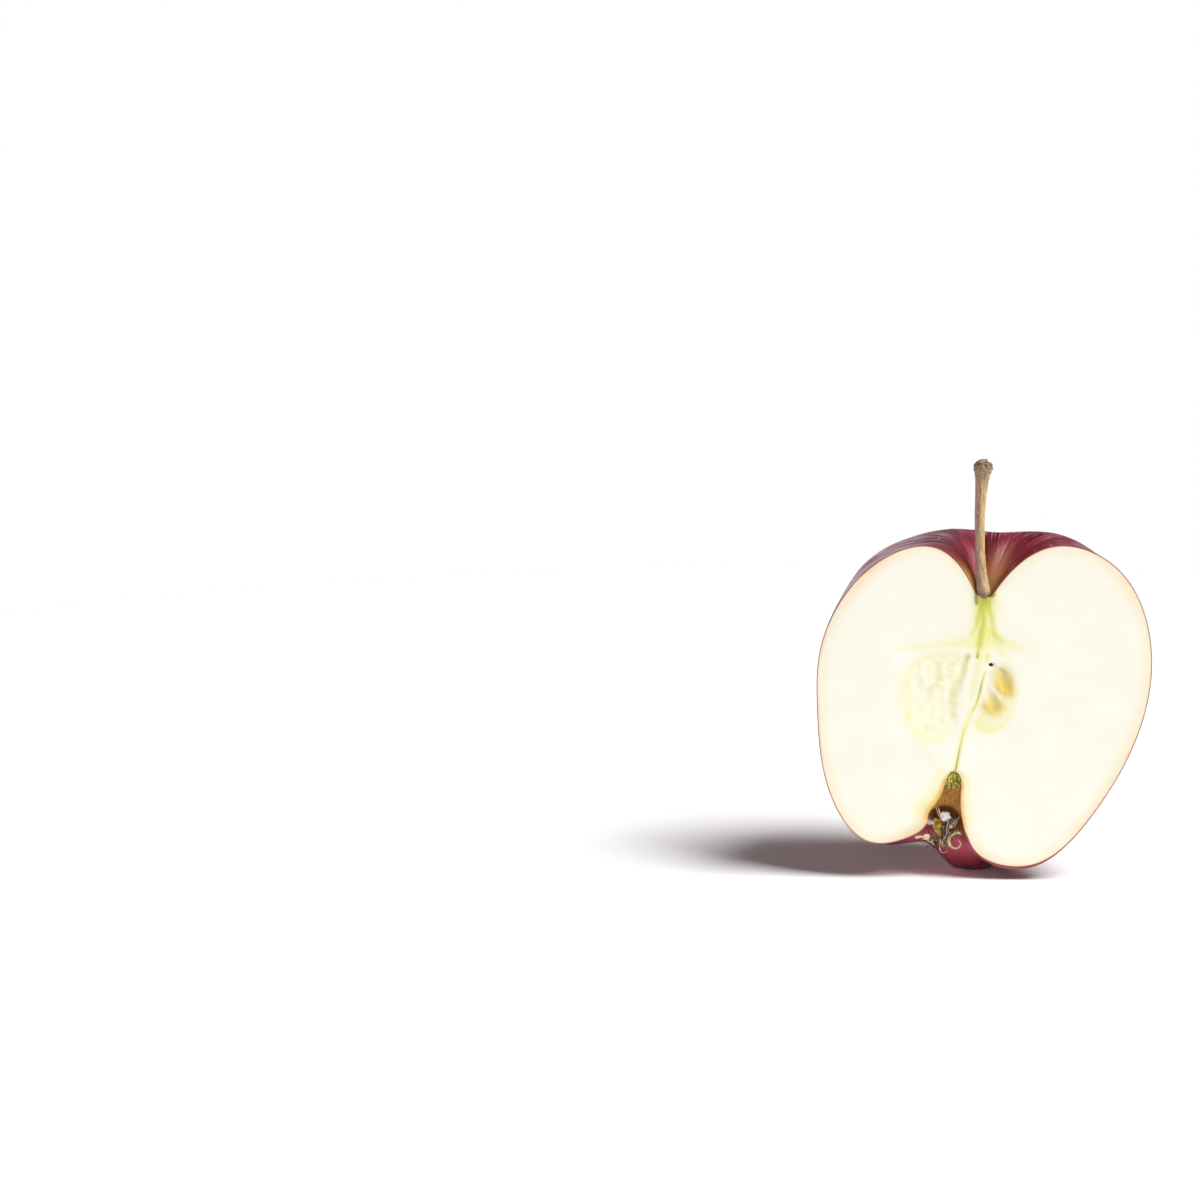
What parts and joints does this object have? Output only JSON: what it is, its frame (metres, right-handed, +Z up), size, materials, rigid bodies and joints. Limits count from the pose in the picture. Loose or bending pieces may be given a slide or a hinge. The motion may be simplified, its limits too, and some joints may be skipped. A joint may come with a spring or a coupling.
{
  "type": "apple half",
  "caption": "Half of a red apple cut lengthwise through its core, standing on its calyx end, with its whole stalk.",
  "frame": {"origin": "on the floor under the middle of the bounding box", "axes": "+Z up, the long way through calyx and stalk; the cut face looks along -Y; +X to the right of someone facing the cut"},
  "size_m": [0.0752, 0.0364, 0.0957],
  "materials": {
    "flesh": "moist cream apple flesh under a glossy crimson skin",
    "stalk": "dry woody stalk, grey brown",
    "seed": "smooth dark pip",
    "sepal": "dry leafy sepal, cream to green brown",
    "folded_sepal": "dry folded sepal, ochre",
    "down": "white down",
    "stamens": "withered stamens, grey"
  },
  "bodies": {
    "root": {"flesh": "flesh", "stalk": "stalk", "seed_tip": "seed", "sepal_left": "sepal", "sepal_front": "sepal", "sepal_right": "sepal", "sepal_curl": "sepal", "sepal_folded": "folded_sepal", "calyx_tuft": "down", "stamens": "stamens"}
  },
  "joints": []
}
